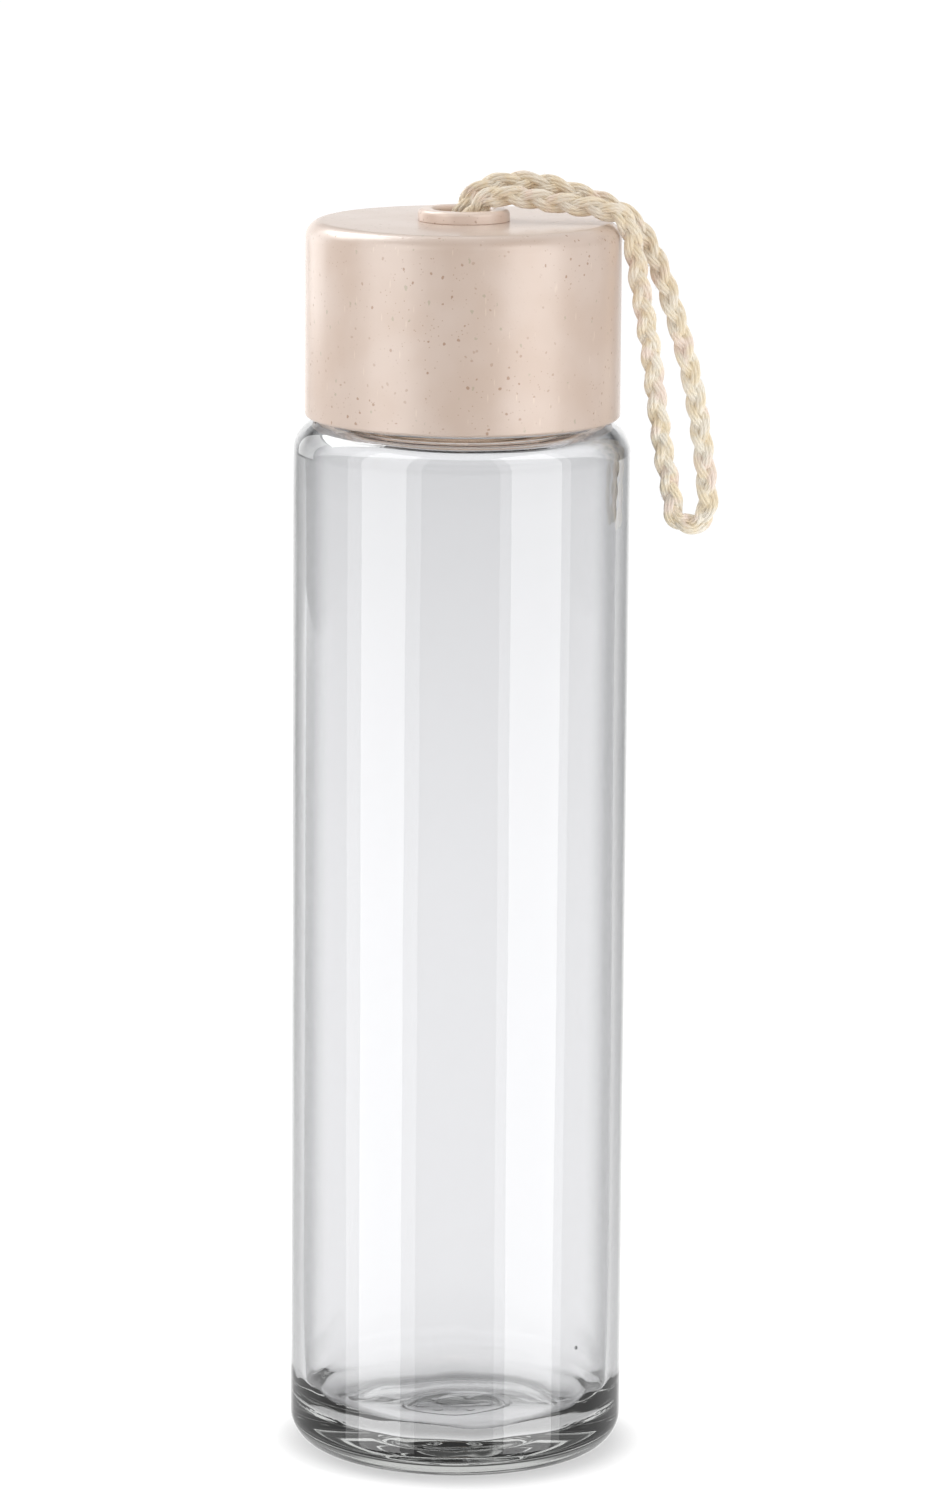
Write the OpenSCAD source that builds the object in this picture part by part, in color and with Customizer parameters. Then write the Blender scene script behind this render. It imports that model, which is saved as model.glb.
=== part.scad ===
// Glass drinking bottle with a screw cap and a plaited carry loop.
// Millimetres, +Z up, origin on the bottle's axis in the plane it stands on.

/* [Glass body] */
// Outer diameter of the body
body_d = 62; // [60:1:72]
// Height of the shoulder's flat top above the table
shoulder_h = 193.4; // [150:0.2:230]
// Glass thickness of the side
side_t = 2.4; // [1.6:0.1:3.2]
// Radius where the side turns under at the heel
heel_r = 6; // [4:0.5:8]
// Radius where the side turns in at the shoulder
shoulder_r = 5.5; // [3:0.5:6.5]
// Glass thickness under the shoulder's flat top
shoulder_t = 3; // [2:0.2:4]
// Radius of the hollow at the shoulder
shoulder_in_r = 4.6; // [3:0.2:5]
// Glass thickness over the standing ring
floor_t = 6.4; // [5:0.2:9]
// Radius of the hollow at the heel
heel_in_r = 8; // [5:0.5:12]
// How far the floor swells up at its middle
floor_rise = 1.2; // [0.4:0.2:2]

/* [Push-up under the base] */
// Diameter of the push-up
punt_d = 42; // [30:1:46]
// Height of the push-up at the centre
punt_h = 3; // [1:0.2:4]

/* [Neck] */
// Outer diameter of the neck, under its thread
neck_d = 46; // [42:0.5:46.4]
// Height of the neck above the shoulder
neck_h = 14.6; // [12:0.2:17]
// Glass thickness of the neck
neck_t = 2.6; // [2.2:0.1:3.2]
// Radius of the fillet between neck and shoulder
neck_fillet = 1.2; // [0.6:0.1:1.8]
// Radius of the hollow where it flares under the neck
flare_r = 2.2; // [1:0.2:2.4]
// Rounding of the lip's two edges
lip_round = 0.9; // [0.5:0.1:1]
// Radius of the half-round bead under the thread
bead_r = 1.2; // [0.8:0.1:1.3]
// Height of the bead's middle above the shoulder
bead_h = 3.4; // [2.6:0.1:4]

/* [Cap shell] */
// Height of the cap
cap_h = 36; // [34:0.5:44]
// Rounding of the cap's top edge
cap_round = 3.2; // [2:0.2:4]
// Rounding of the cap's bottom edge
rim_round = 0.7; // [0.3:0.1:0.9]
// Wall thickness of the cap's side
shell_t = 2.2; // [1.8:0.1:2.6]
// Wall thickness of the cap's top
top_t = 2.4; // [2:0.1:3.5]
// Rounding inside the cap's top corner
shell_in_round = 1.6; // [0.8:0.2:2.2]
// Gap between the closed cap and the shoulder
cap_gap = 0.6; // [0.3:0.1:1]
// Inner diameter of the tube round the knot
boss_d = 19; // [17:0.5:24]
// Wall thickness of that tube
boss_t = 1.4; // [1:0.1:2]

/* [Cap liner] */
// Room between neck and sleeve for the two threads
thread_room = 2.2; // [2:0.1:2.6]
// Wall thickness of the threaded sleeve
liner_t = 1.4; // [1.2:0.1:1.9]
// Thickness of the sleeve's closed top
disc_t = 1.8; // [1.2:0.1:2.4]
// How far the sleeve's edge stands back in the shell
liner_back = 0.8; // [0.4:0.1:1.5]
// Number of keys that stop the sleeve from turning in the shell
key_count = 12; // [4:1:18]
// Width of each key
key_w = 2; // [1.2:0.1:3]
// How far each key stands out of the sleeve
key_h = 0.8; // [0.4:0.1:0.9]
// Wall thickness of the ring that centres the gasket
centring_t = 1.2; // [0.8:0.1:1.6]
// Height of that ring
centring_h = 1.4; // [0.8:0.1:1.6]

/* [Sealing gasket] */
// Thickness of the gasket
gasket_t = 1.8; // [1.6:0.1:2.6]
// How far the gasket reaches past the lip on each side
gasket_over = 0.4; // [0:0.1:0.6]
// Bevel on the gasket's edges
gasket_bevel = 0.3; // [0.1:0.1:0.5]

/* [Cord bush] */
// Diameter of the collar that stands on the cap
collar_d = 16.8; // [15:0.2:20]
// Height of the collar
collar_h = 2.2; // [1.4:0.2:2.4]
// Rounding of the collar's edges
collar_round = 0.8; // [0.3:0.1:1]
// Diameter of the hole that the cord runs through
bush_bore_d = 11; // [10.6:0.2:11.4]
// Wall thickness of the bush's barrel
barrel_t = 1.2; // [0.8:0.1:1.4]
// How far the snap edge reaches under the cap's top
snap_reach = 0.6; // [0.3:0.1:0.9]
// Height of the snap edge
snap_h = 0.8; // [0.6:0.1:1.2]
// Number of slots that let the snap edge spring
slot_count = 4; // [2:1:6]
// Width of each slot
slot_w = 1.2; // [0.8:0.1:2]

/* [Cord] */
// Diameter of the cord
cord_d = 3.8; // [3:0.1:4]
// Diameter of the stopper knot
knot_d = 13.6; // [12.4:0.2:16]
// Height of the stopper knot
knot_h = 9.6; // [8:0.2:12]
// Rounding of the knot's edges
knot_round = 3.2; // [2:0.2:3.8]

/* [Clearances] */
// Gap between pieces that are pushed or snapped together
push_gap = 0.1; // [0.05:0.05:0.2]
// Gap between the gasket and what it sits in
gasket_gap = 0.3; // [0.2:0.1:0.5]
// Gap between the knot and the bush that stops it
knot_gap = 0.3; // [0.2:0.1:0.6]
// Gap between the knot's tube and the sleeve's closed top
boss_gap = 0.2; // [0.1:0.1:0.5]

/* [Hidden] */
$fn = 96;
arc_steps = 8;
dome_steps = 6;
skin = 0.01;

body_r = body_d / 2;
body_in_r = body_r - side_t;
punt_r = punt_d / 2;
neck_r = neck_d / 2;
neck_in_r = neck_r - neck_t;
lip_z = shoulder_h + neck_h;
shoulder_out_round = min(shoulder_r, body_r - neck_r - neck_fillet);
shoulder_in_round = min(shoulder_in_r, body_in_r - neck_in_r - flare_r);

liner_in_r = neck_r + thread_room;
liner_r = liner_in_r + liner_t;
shell_in_r = liner_r + push_gap;
cap_r = shell_in_r + shell_t;
cap_z = shoulder_h + cap_gap;
cap_top = cap_z + cap_h;
ceiling_z = cap_top - top_t;
liner_z = cap_z + liner_back;
gasket_top = lip_z + gasket_t;
disc_top = gasket_top + disc_t;

gasket_r = neck_r + gasket_over;
gasket_in_r = neck_in_r + lip_round - gasket_over;
centring_r = gasket_in_r - gasket_gap;

collar_r = collar_d / 2;
bore_r = bush_bore_d / 2;
barrel_r = bore_r + barrel_t;
bush_hole_r = barrel_r + push_gap;
snap_r = barrel_r + snap_reach;
snap_top = ceiling_z - push_gap;
bush_z = snap_top - snap_h;
slot_top = snap_top + top_t / 2;

boss_r = boss_d / 2;
boss_z = disc_top + boss_gap;

knot_r = knot_d / 2;
knot_top = bush_z - knot_gap;
knot_z = knot_top - knot_h;

// The cord's middle line, measured from the middle of the cap's top: up from
// the knot, over the cap's edge, down, round and back to the knot. Its two
// ends stand on the knot at CORD_FOOT, and straight up to CORD_DIP under the top.
CORD_FOOT = [0.8, -2, 0];
CORD_DIP = 0.4;
CORD_POINTS = [
    [0.3, 2, 2.4], [1.9, 2.1, 4.6], [4.8, 2.1, 6.2], [9.4, 1.9, 7], [14.4, 1.6, 6.6],
    [19.2, 1.3, 5.3], [23.8, 0.9, 3.9], [28, 0.4, 2.1], [31.5, 0, -0.7], [34, 0, -4.6],
    [36.2, 0, -9.6], [38.2, 0, -15.4], [40.1, 0, -21.8], [41.8, 0, -28.2], [43.1, 0, -34.6],
    [44.1, 0, -41], [44.8, 0, -46.8], [45.1, 0, -50.2], [45.1, 0, -52.6], [44.2, 0, -54.9],
    [41.9, 0, -55.8], [39.6, 0, -54.9], [38.8, -0.2, -52.6], [38.4, -0.5, -49.4],
    [37.2, -1.2, -43.8], [36.2, -2, -37.4], [35.3, -2.8, -30.8], [34.4, -3.6, -24],
    [33.2, -4.4, -17], [32, -5.1, -10.4], [30.9, -5.7, -4], [29.1, -5.9, 1.1],
    [24.8, -5, 2.8], [17, -3.5, 3.7], [9, -2.4, 4.7], [4.7, -1.9, 4.3], [2.5, -1.7, 2.2]
];
CORD_SIDES = 8;
CORD_STEPS = 2;

// Points of an arc about c, from angle a to angle b
function arc(c, r, a, b, n = arc_steps) =
    [for (i = [0:n]) let (t = a + (b - a) * i / n) c + r * [cos(t), sin(t)]];

// Points of a shallow dome over a disc of radius r at height z, from the axis outwards
function dome(r, z, rise, n = dome_steps) =
    let (big_r = (r * r + rise * rise) / (2 * rise), reach = asin(r / big_r))
    arc([0, z + rise - big_r], big_r, 90, 90 - reach, n);

function reversed(list) = [for (i = [len(list) - 1:-1:0]) list[i]];

// Outside of the glass, from the axis under the base up to the lip
function glass_outside() = concat(
    dome(punt_r, 0, punt_h),
    arc([body_r - heel_r, heel_r], heel_r, -90, 0),
    arc([body_r, shoulder_h] - shoulder_out_round * [1, 1], shoulder_out_round, 0, 90),
    arc([neck_r + neck_fillet, shoulder_h + neck_fillet], neck_fillet, -90, -180),
    arc([neck_r, shoulder_h + bead_h], bead_r, -90, 90),
    arc([neck_r - lip_round, lip_z - lip_round], lip_round, 0, 90)
);

// Inside of the glass, from the lip down to the axis over the floor
function glass_inside() = concat(
    arc([neck_in_r + lip_round, lip_z - lip_round], lip_round, 90, 180),
    arc([neck_in_r + flare_r, shoulder_h - shoulder_t + flare_r], flare_r, 180, 270),
    arc([body_in_r, shoulder_h - shoulder_t] - shoulder_in_round * [1, 1], shoulder_in_round, 90, 0),
    arc([body_in_r - heel_in_r, floor_t + heel_in_r], heel_in_r, 0, -90),
    reversed(dome(body_in_r - heel_in_r - skin, floor_t, floor_rise))
);

module glass_bottle() {
    color([0.80, 0.88, 0.90, 0.45])
        rotate_extrude() polygon(concat(glass_outside(), glass_inside()));
}

// A flat ring of silicone between the lip and the sleeve's closed top
module sealing_gasket() {
    color([0.93, 0.93, 0.91])
        translate([0, 0, lip_z])
            rotate_extrude()
                polygon([
                    [gasket_in_r + gasket_bevel, 0],
                    [gasket_r - gasket_bevel, 0],
                    [gasket_r, gasket_bevel],
                    [gasket_r, gasket_t],
                    [gasket_in_r, gasket_t],
                    [gasket_in_r, gasket_bevel]
                ]);
}

// Places its children, drawn along +X, at every key of the sleeve
module at_keys() {
    for (i = [0:key_count - 1]) rotate(i * 360 / key_count) children();
}

// One bar along the cap's axis, from radius r0 to r1
module key_bar(r0, r1, width, z0, z1) {
    translate([r0, -width / 2, z0]) cube([r1 - r0, width, z1 - z0]);
}

// The sleeve that carries the thread, with a closed top and keys on its side
module cap_liner() {
    color([0.95, 0.94, 0.90]) {
        rotate_extrude()
            polygon([
                [liner_in_r, liner_z],
                [liner_r, liner_z],
                [liner_r, disc_top],
                [0, disc_top],
                [0, gasket_top],
                [centring_r - centring_t, gasket_top],
                [centring_r - centring_t, gasket_top - centring_h],
                [centring_r, gasket_top - centring_h],
                [centring_r, gasket_top],
                [liner_in_r, gasket_top]
            ]);
        at_keys() key_bar(liner_r - liner_t / 2, liner_r + key_h, key_w, liner_z, disc_top);
    }
}

// The moulded outer cap, with the knot's tube under its top
module cap_shell() {
    color([0.86, 0.75, 0.67])
        difference() {
            rotate_extrude()
                polygon(concat(
                    [[shell_in_r, cap_z]],
                    arc([cap_r - rim_round, cap_z + rim_round], rim_round, -90, 0),
                    arc([cap_r - cap_round, cap_top - cap_round], cap_round, 0, 90),
                    [
                        [bush_hole_r, cap_top],
                        [bush_hole_r, ceiling_z],
                        [boss_r, ceiling_z],
                        [boss_r, boss_z],
                        [boss_r + boss_t, boss_z],
                        [boss_r + boss_t, ceiling_z]
                    ],
                    arc([shell_in_r - shell_in_round, ceiling_z - shell_in_round], shell_in_round, 90, 0)
                ));
            at_keys()
                key_bar(
                    shell_in_r - push_gap, liner_r + key_h + push_gap, key_w + 2 * push_gap,
                    cap_z - skin, disc_top + push_gap
                );
        }
}

// The bush that the cord runs through, snapped into the cap's top
module cord_bush() {
    color([0.90, 0.81, 0.74])
        difference() {
            rotate_extrude()
                polygon(concat(
                    [
                        [bore_r, bush_z],
                        [barrel_r, bush_z],
                        [snap_r, snap_top - snap_h / 2],
                        [snap_r, snap_top],
                        [barrel_r, snap_top],
                        [barrel_r, cap_top],
                        [collar_r, cap_top]
                    ],
                    arc([collar_r - collar_round, cap_top + collar_h - collar_round], collar_round, 0, 90),
                    arc([bore_r + collar_round, cap_top + collar_h - collar_round], collar_round, 90, 180)
                ));
            for (i = [0:slot_count - 1])
                rotate((i + 0.5) * 360 / slot_count)
                    key_bar(bore_r / 2, snap_r + skin, slot_w, bush_z - skin, slot_top);
        }
}

function unit(v) = v / norm(v);

// The cord's chosen points, with its straight ends standing on the knot
function cord_route() = concat(
    [[0, 0, knot_top] - CORD_FOOT, [0, 0, cap_top - CORD_DIP] - CORD_FOOT],
    [for (p = CORD_POINTS) p + [0, 0, cap_top]],
    [[0, 0, cap_top - CORD_DIP] + CORD_FOOT, [0, 0, knot_top] + CORD_FOOT]
);

// Point at t from b to c on the smooth curve through a, b, c and d
function smooth(a, b, c, d, t) =
    0.5 * (2 * b + (c - a) * t + (2 * a - 5 * b + 4 * c - d) * t * t
        + (3 * b - a - 3 * c + d) * t * t * t);

function smooth_line(p, n) = concat(
    [for (i = [0:len(p) - 2]) for (k = [0:n - 1])
        smooth(p[max(i - 1, 0)], p[i], p[i + 1], p[min(i + 2, len(p) - 1)], k / n)],
    [p[len(p) - 1]]
);

// Direction of the line at point i; both ends point straight along Z
function heading(line, i) =
    i == 0 ? [0, 0, 1] :
    i == len(line) - 1 ? [0, 0, -1] :
    unit(line[i + 1] - line[i - 1]);

// A round tube swept along a line that keeps near one upright plane
module swept_tube(line, r, sides) {
    last = len(line) - 1;
    rings = [for (i = [0:last])
        let (
            along = heading(line, i),
            across = unit([0, 1, 0] - along[1] * along),
            out = cross(along, across)
        )
        for (k = [0:sides - 1]) let (a = 360 * (k + 0.5) / sides)
            line[i] + r * (cos(a) * across + sin(a) * out)];
    walls = [for (i = [0:last - 1]) for (k = [0:sides - 1])
        let (a = i * sides + k, b = i * sides + (k + 1) % sides)
        each [[a, a + sides, b], [b, a + sides, b + sides]]];
    start_cap = [for (k = [0:sides - 1]) k];
    end_cap = [for (k = [sides - 1:-1:0]) last * sides + k];
    polyhedron(points = rings, faces = concat([start_cap], walls, [end_cap]));
}

module carry_cord() {
    color([0.88, 0.80, 0.66])
        swept_tube(smooth_line(cord_route(), CORD_STEPS), cord_d / 2, CORD_SIDES);
}

// The knot that stops the cord inside the cap
module cord_knot() {
    color([0.84, 0.75, 0.60])
        rotate_extrude()
            polygon(concat(
                [[0, knot_z]],
                arc([knot_r - knot_round, knot_z + knot_round], knot_round, -90, 0),
                arc([knot_r - knot_round, knot_top - knot_round], knot_round, 0, 90),
                [[0, knot_top]]
            ));
}

glass_bottle();
sealing_gasket();
cap_liner();
cap_shell();
cord_bush();
carry_cord();
cord_knot();
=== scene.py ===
"""Dresses the glass drinking bottle: blown glass, straw composite cap and plaited cotton loop.

Lengths are millimetres while a shape is worked out, and metres in every mesh.
"""

import logging
import math
import random
from dataclasses import dataclass, field
from enum import Enum
from typing import Iterable, Sequence

import bmesh
import bpy
from mathutils import Matrix, Vector, noise


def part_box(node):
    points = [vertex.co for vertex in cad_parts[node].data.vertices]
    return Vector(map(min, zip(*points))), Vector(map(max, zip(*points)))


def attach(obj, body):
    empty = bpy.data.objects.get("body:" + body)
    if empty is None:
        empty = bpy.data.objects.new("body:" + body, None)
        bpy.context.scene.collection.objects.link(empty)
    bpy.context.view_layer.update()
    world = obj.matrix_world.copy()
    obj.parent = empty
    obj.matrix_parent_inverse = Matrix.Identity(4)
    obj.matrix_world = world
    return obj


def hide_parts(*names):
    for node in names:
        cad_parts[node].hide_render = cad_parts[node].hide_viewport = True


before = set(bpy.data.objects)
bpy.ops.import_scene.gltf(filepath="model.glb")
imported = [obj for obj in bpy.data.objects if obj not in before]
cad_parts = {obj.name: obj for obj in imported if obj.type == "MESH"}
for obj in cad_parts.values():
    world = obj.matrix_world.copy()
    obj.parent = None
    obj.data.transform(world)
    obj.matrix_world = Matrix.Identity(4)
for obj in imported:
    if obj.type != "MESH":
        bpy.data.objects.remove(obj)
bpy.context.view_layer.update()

log = logging.getLogger("bottle")
MM = 0.001
TURN = 2 * math.pi
SECTORS = 12

Point = tuple[float, float]
Shape = bmesh.types.BMesh
Piece = bpy.types.Object
Material = bpy.types.Material


class Body(Enum):
    """The bodies that a piece can ride on."""

    BOTTLE = "bottle"
    SEAL = "seal"
    CAP = "cap"
    CORD = "cord"


class Slot(Enum):
    """The record's material slots."""

    GLASS = "glass"
    SILICONE = "silicone"
    LINER = "liner_plastic"
    CAP = "cap_composite"
    BUSH = "bush_composite"
    CORD = "cord_cotton"
    KNOT = "knot_cotton"


def smoothstep(value: float) -> float:
    """Returns an even rise from 0 at 0 to 1 at 1."""
    t = min(1.0, max(0.0, value))
    return t * t * (3 - 2 * t)


def arc(centre: Point, radius: float, start: float, end: float, steps: int = 10) -> list[Point]:
    """Points of an arc in the plane of an outline.

    Args:
        centre: Middle of the arc, as (radius, height).
        radius: The arc's own radius.
        start: Angle of the first point in degrees.
        end: Angle of the last point in degrees.
        steps: Number of chords.

    Returns:
        The points, both ends included.
    """
    angles = (math.radians(start + (end - start) * i / steps) for i in range(steps + 1))
    return [(centre[0] + radius * math.cos(a), centre[1] + radius * math.sin(a)) for a in angles]


def dome(radius: float, height: float, rise: float, steps: int) -> list[Point]:
    """Points of a shallow dome over a disc, from the axis outwards."""
    big = (radius * radius + rise * rise) / (2 * rise)
    reach = math.degrees(math.asin(radius / big))
    return arc((0, height + rise - big), big, 90, 90 - reach, steps)


def stretch(start: Point, end: Point, steps: int) -> list[Point]:
    """Points between two corners of an outline, without the corners themselves."""
    shares = [i / steps for i in range(1, steps)]
    return [(start[0] + (end[0] - start[0]) * t, start[1] + (end[1] - start[1]) * t) for t in shares]


def lathe(outline: Sequence[Point], steps: int) -> Shape:
    """Spins a closed outline round the Z axis.

    Args:
        outline: Points as (radius, height) in millimetres. Ends that both lie on the axis are
            left open there, and any other outline is closed.
        steps: Number of sides all round, a multiple of SECTORS.

    Returns:
        A closed shape in metres, with its faces pointing outwards.
    """
    shape = bmesh.new()
    verts = [shape.verts.new((r * MM, 0, z * MM)) for r, z in outline]
    pairs = list(zip(verts, verts[1:]))
    if outline[0][0] > 0 or outline[-1][0] > 0:
        pairs.append((verts[-1], verts[0]))
    edges = [shape.edges.new(pair) for pair in pairs]
    round_z = {"cent": (0, 0, 0), "axis": (0, 0, 1)}
    sector = TURN / SECTORS
    bmesh.ops.spin(shape, geom=verts + edges, angle=sector, steps=steps // SECTORS, **round_z)
    wedge = [*shape.verts, *shape.edges, *shape.faces]
    bmesh.ops.spin(shape, geom=wedge, angle=TURN - sector, steps=SECTORS - 1, use_duplicate=True, **round_z)
    bmesh.ops.remove_doubles(shape, verts=shape.verts, dist=1e-6)
    bmesh.ops.recalc_face_normals(shape, faces=shape.faces)
    return shape


def sweep(rings: Sequence[Sequence[Vector]], uv_name: str = "", lengths: Sequence[float] = ()) -> Shape:
    """Rolls a grid up into a tube through a row of rings.

    Args:
        rings: Rings of as many points each, in metres.
        uv_name: Name of a UV map to write, or nothing for none.
        lengths: Distance along the tube at each ring, written as U. V goes once round.

    Returns:
        A closed tube with its faces pointing outwards.
    """
    shape = bmesh.new()
    rows, sides = len(rings) - 1, len(rings[0])
    bmesh.ops.create_grid(shape, x_segments=rows, y_segments=sides, size=1)
    place = {v: (round((v.co.x + 1) / 2 * rows), round((v.co.y + 1) / 2 * sides)) for v in shape.verts}
    for vert, (row, side) in place.items():
        vert.co = rings[row][side % sides]
    if uv_name:
        layer = shape.loops.layers.uv.new(uv_name)
        for face in shape.faces:
            for corner in face.loops:
                row, side = place[corner.vert]
                corner[layer].uv = (lengths[row], side / sides)
    bmesh.ops.remove_doubles(shape, verts=shape.verts, dist=1e-7)
    bmesh.ops.holes_fill(shape, edges=[e for e in shape.edges if e.is_boundary], sides=0)
    bmesh.ops.recalc_face_normals(shape, faces=shape.faces)
    return shape


def joined(shapes: Iterable[Shape]) -> Shape:
    """Puts several shapes into one, and frees them."""
    whole = bmesh.new()
    for shape in shapes:
        mesh = bpy.data.meshes.new("part")
        shape.to_mesh(mesh)
        shape.free()
        whole.from_mesh(mesh)
        bpy.data.meshes.remove(mesh)
    return whole


def block(low: Sequence[float], high: Sequence[float], turn: float = 0) -> Shape:
    """A box between two corners in millimetres, turned round the Z axis by so many radians."""
    shape = bmesh.new()
    size = [(b - a) * MM for a, b in zip(low, high)]
    middle = [(a + b) / 2 * MM for a, b in zip(low, high)]
    place = Matrix.Rotation(turn, 4, "Z") @ Matrix.Translation(middle) @ Matrix.Diagonal((*size, 1))
    bmesh.ops.create_cube(shape, size=1, matrix=place)
    return shape


def as_object(name: str, shape: Shape, crease: float = 35) -> Piece:
    """Makes an object of a shape, smooth but for edges sharper than crease degrees."""
    mesh = bpy.data.meshes.new(name)
    shape.to_mesh(mesh)
    shape.free()
    mesh.polygons.foreach_set("use_smooth", [True] * len(mesh.polygons))
    mesh.set_sharp_from_angle(angle=math.radians(crease))
    made = bpy.data.objects.new(name, mesh)
    bpy.context.scene.collection.objects.link(made)
    return made


def cut(piece: Piece, cutter: Shape, crease: float = 35) -> None:
    """Takes the cutter's space out of a piece's mesh."""
    tool = as_object("cutter", cutter)
    change = piece.modifiers.new("cut", "BOOLEAN")
    change.operation = "DIFFERENCE"
    change.solver = "EXACT"
    change.object = tool
    view = bpy.context.evaluated_depsgraph_get()
    mesh = bpy.data.meshes.new_from_object(piece.evaluated_get(view))
    piece.modifiers.clear()
    old, piece.data = piece.data, mesh
    mesh.name = piece.name
    bpy.data.meshes.remove(old)
    bpy.data.objects.remove(tool)
    mesh.polygons.foreach_set("use_smooth", [True] * len(mesh.polygons))
    mesh.set_sharp_from_angle(angle=math.radians(crease))


def finished(piece: Piece, body: Body, slot: Slot, material: Material, *nodes: str) -> Piece:
    """Dresses a new piece and hands it to the frame.

    Args:
        piece: The object, in place.
        body: The body that it rides on.
        slot: The record's slot of its finish; not used.
        material: Its material.
        *nodes: The CAD nodes that it stands for.

    Returns:
        The same object.
    """
    piece.data.materials.clear()
    piece.data.materials.append(material)
    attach(piece, body.value)
    if nodes:
        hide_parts(*nodes)
    log.info("%s rides on %s, %d faces", piece.name, body.value, len(piece.data.polygons))
    return piece


def dress(node: str, material: Material) -> None:
    """Gives a CAD node that stays a better material."""
    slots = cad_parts[node].data.materials
    slots.clear()
    slots.append(material)
    log.info("%s keeps its CAD shape", node)


class Wire:
    """A node's output that carries a number, with arithmetic that adds Math nodes."""

    def __init__(self, paint: "Paint", socket: bpy.types.NodeSocket) -> None:
        """Keeps the material that the socket belongs to."""
        self.paint = paint
        self.socket = socket

    def __add__(self, other: "Wire | float") -> "Wire":
        """Adds."""
        return self.paint.maths("ADD", self, other)

    __radd__ = __add__

    def __sub__(self, other: "Wire | float") -> "Wire":
        """Subtracts."""
        return self.paint.maths("SUBTRACT", self, other)

    def __rsub__(self, other: float) -> "Wire":
        """Subtracts from a number."""
        return self.paint.maths("SUBTRACT", other, self)

    def __mul__(self, other: "Wire | float") -> "Wire":
        """Multiplies."""
        return self.paint.maths("MULTIPLY", self, other)

    __rmul__ = __mul__

    def wave(self) -> "Wire":
        """Returns the sine."""
        return self.paint.maths("SINE", self)

    def rises(self, low: float, high: float) -> "Wire":
        """Returns a smooth rise from 0 at low to 1 at high, or a fall where high is the lower."""
        ends = {"From Min": low, "From Max": high}
        settings = {"interpolation_type": "SMOOTHSTEP"}
        return self.paint.wire("ShaderNodeMapRange", settings, {"Value": self, **ends}, "Result")


class Paint:
    """Builds the nodes of one material."""

    def __init__(self, name: str) -> None:
        """Starts a material with one Principled shader."""
        self.material = bpy.data.materials.new(name)
        self.material.use_nodes = True
        self.tree = self.material.node_tree
        self.tree.nodes.clear()
        self.shader = self.node("ShaderNodeBsdfPrincipled")
        self.output = self.node("ShaderNodeOutputMaterial")
        self.tree.links.new(self.shader.outputs["BSDF"], self.output.inputs["Surface"])
        self.here = self.node("ShaderNodeTexCoord").outputs["Object"]

    def node(self, kind: str, settings: dict | None = None, inputs: dict | None = None) -> bpy.types.Node:
        """Adds a node.

        Args:
            kind: The node's type.
            settings: Its settings, set first.
            inputs: Values, colours, sockets or wires by the input's name or number.

        Returns:
            The node.
        """
        made = self.tree.nodes.new(kind)
        for key, value in (settings or {}).items():
            setattr(made, key, value)
        for key, value in (inputs or {}).items():
            self.feed(made.inputs[key], value)
        return made

    def feed(self, socket: bpy.types.NodeSocket, value: object) -> None:
        """Sets or links one input."""
        if isinstance(value, Wire):
            value = value.socket
        if isinstance(value, bpy.types.NodeSocket):
            self.tree.links.new(value, socket)
        else:
            socket.default_value = value

    def wire(self, kind: str, settings: dict, inputs: dict, output: str | int) -> Wire:
        """Adds a node and returns one of its outputs as a number."""
        return Wire(self, self.node(kind, settings, inputs).outputs[output])

    def maths(self, operation: str, *values: "Wire | float") -> Wire:
        """Adds a Math node."""
        return self.wire("ShaderNodeMath", {"operation": operation}, dict(enumerate(values)), 0)

    def placed(self, scale: Sequence[float], turn: Sequence[float] = (0, 0, 0)) -> bpy.types.NodeSocket:
        """Returns the object's own coordinates, scaled and turned."""
        inputs = {"Vector": self.here, "Scale": scale, "Rotation": turn}
        return self.node("ShaderNodeMapping", None, inputs).outputs["Vector"]

    def grain(self, size_mm: float, detail: float = 2, where: bpy.types.NodeSocket | None = None) -> Wire:
        """Returns noise from 0 to 1 with lumps of about size_mm."""
        inputs = {"Vector": where or self.here, "Scale": 1 / (size_mm * MM), "Detail": detail}
        return self.wire("ShaderNodeTexNoise", {}, inputs, "Fac")

    def mix(self, share: Wire, low: Sequence[float] | bpy.types.NodeSocket,
            high: Sequence[float] | bpy.types.NodeSocket) -> bpy.types.NodeSocket:
        """Mixes two colours by a share from 0 to 1."""
        made = self.node("ShaderNodeMix", {"data_type": "RGBA"})
        self.feed(made.inputs[0], share)
        self.feed(made.inputs[6], low)
        self.feed(made.inputs[7], high)
        return made.outputs[2]

    def bump(self, height: Wire, depth_mm: float, strength: float = 1) -> None:
        """Raises the surface by depth_mm where height is 1."""
        inputs = {"Height": height, "Distance": depth_mm * MM, "Strength": strength}
        self.feed(self.shader.inputs["Normal"], self.node("ShaderNodeBump", None, inputs).outputs[0])

    def absorb(self, colour: Sequence[float], density: float) -> None:
        """Lets the inside swallow light over long paths, by so much a metre."""
        inside = self.node("ShaderNodeVolumeAbsorption", None, {"Color": colour, "Density": density})
        self.tree.links.new(inside.outputs["Volume"], self.output.inputs["Volume"])

    def set(self, **inputs: object) -> None:
        """Sets the shader's own inputs, with an underscore for each space in a name."""
        for key, value in inputs.items():
            self.feed(self.shader.inputs[key.replace("_", " ")], value)


Colour = tuple[float, float, float, float]


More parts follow.
